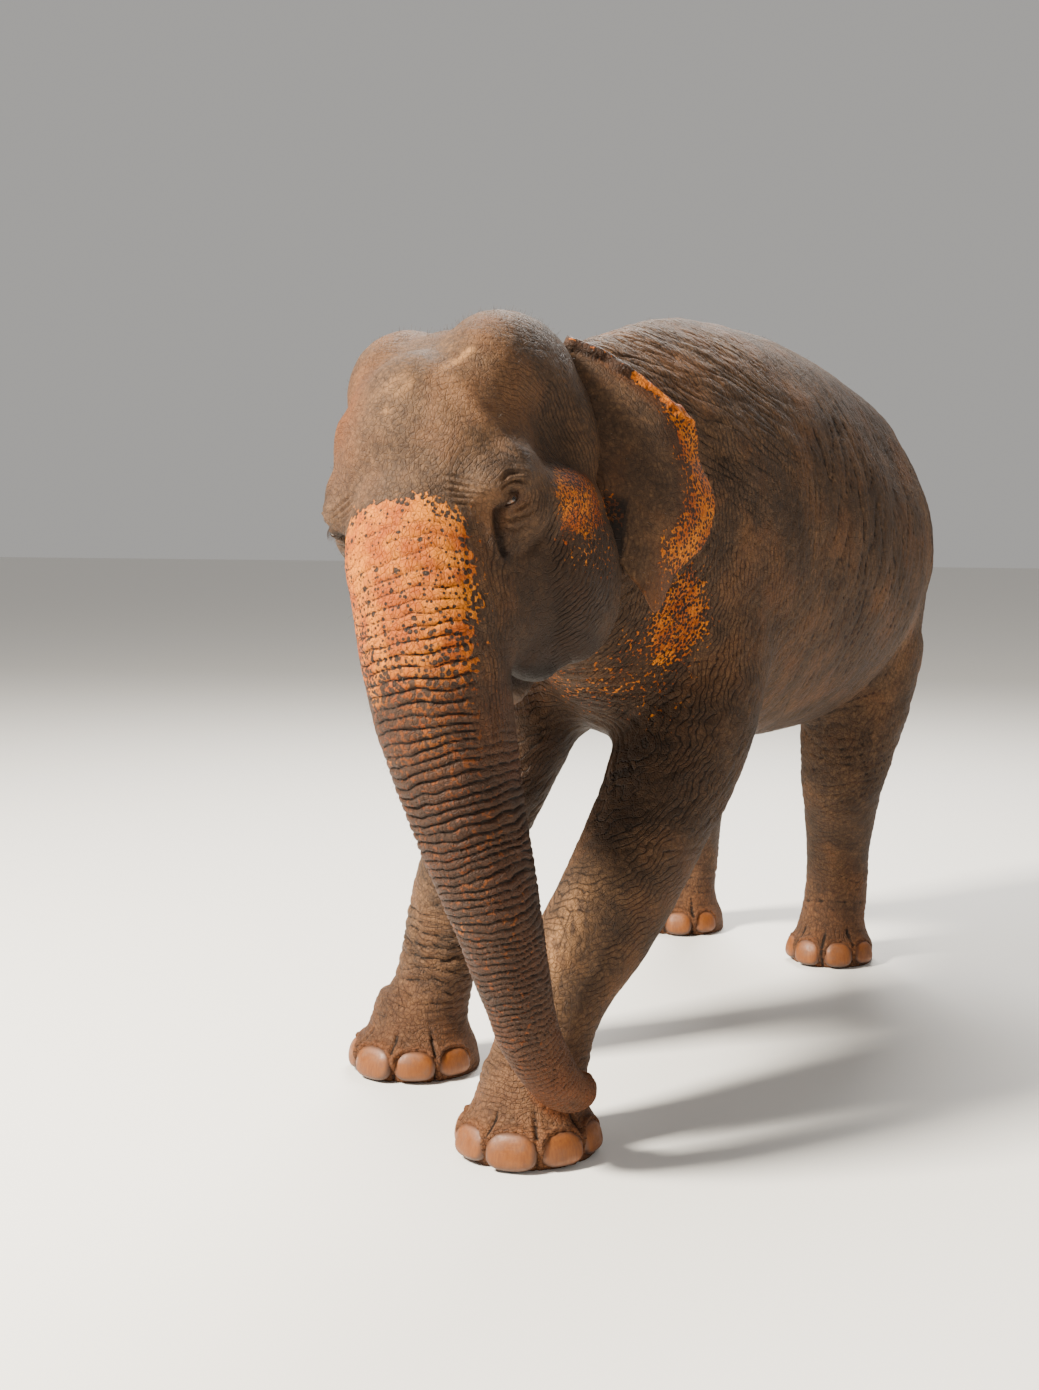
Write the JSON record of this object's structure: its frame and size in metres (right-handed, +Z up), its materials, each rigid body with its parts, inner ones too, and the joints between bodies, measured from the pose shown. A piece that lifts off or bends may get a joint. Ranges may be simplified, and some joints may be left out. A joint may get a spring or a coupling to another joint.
{
  "type": "asian elephant model",
  "caption": "Life-size Asian elephant cow standing with the left fore leg reached forward, head tilted and trunk hanging to the fore foot.",
  "frame": {"origin": "on the floor, in the middle of the footprint of the whole model's box", "axes": "+Z up, -Y the way the elephant faces, +X to the elephant's left"},
  "size_m": [1.4156, 3.5834, 2.3409],
  "materials": {
    "skin": "matte, wrinkled grey-brown hide with a dusty tint",
    "trunk_skin": "matte ringed hide, orange-pink and speckled over the front, grey-brown lower down",
    "ear_skin": "matte thin hide, grey-brown with freckled orange margins",
    "eye": "wet dark brown",
    "nail": "worn tan horn",
    "hair": "stiff black bristles"
  },
  "bodies": {
    "root": {"head": "skin", "lower_jaw": "skin", "neck": "skin", "chest": "skin", "barrel": "skin", "rump": "skin", "foreleg_left": "skin", "foreleg_right": "skin", "hindleg_left": "skin", "hindleg_right": "skin", "forefoot_left": "skin", "forefoot_right": "skin", "hindfoot_left": "skin", "hindfoot_right": "skin", "tail_upper": "skin", "tail_lower": "skin", "trunk_upper": "trunk_skin", "trunk_middle": "trunk_skin", "trunk_lower": "trunk_skin", "trunk_tip": "trunk_skin", "ear_left": "ear_skin", "ear_right": "ear_skin", "eye_left": "eye", "eye_right": "eye", "tail_tuft": "hair", "toenail_forefoot_left_1": "nail", "toenail_forefoot_left_2": "nail", "toenail_forefoot_left_3": "nail", "toenail_forefoot_left_4": "nail", "toenail_forefoot_left_5": "nail", "toenail_forefoot_right_1": "nail", "toenail_forefoot_right_2": "nail", "toenail_forefoot_right_3": "nail", "toenail_forefoot_right_4": "nail", "toenail_forefoot_right_5": "nail", "toenail_hindfoot_left_1": "nail", "toenail_hindfoot_left_2": "nail", "toenail_hindfoot_left_3": "nail", "toenail_hindfoot_left_4": "nail", "toenail_hindfoot_right_1": "nail", "toenail_hindfoot_right_2": "nail", "toenail_hindfoot_right_3": "nail", "toenail_hindfoot_right_4": "nail"}
  },
  "joints": []
}
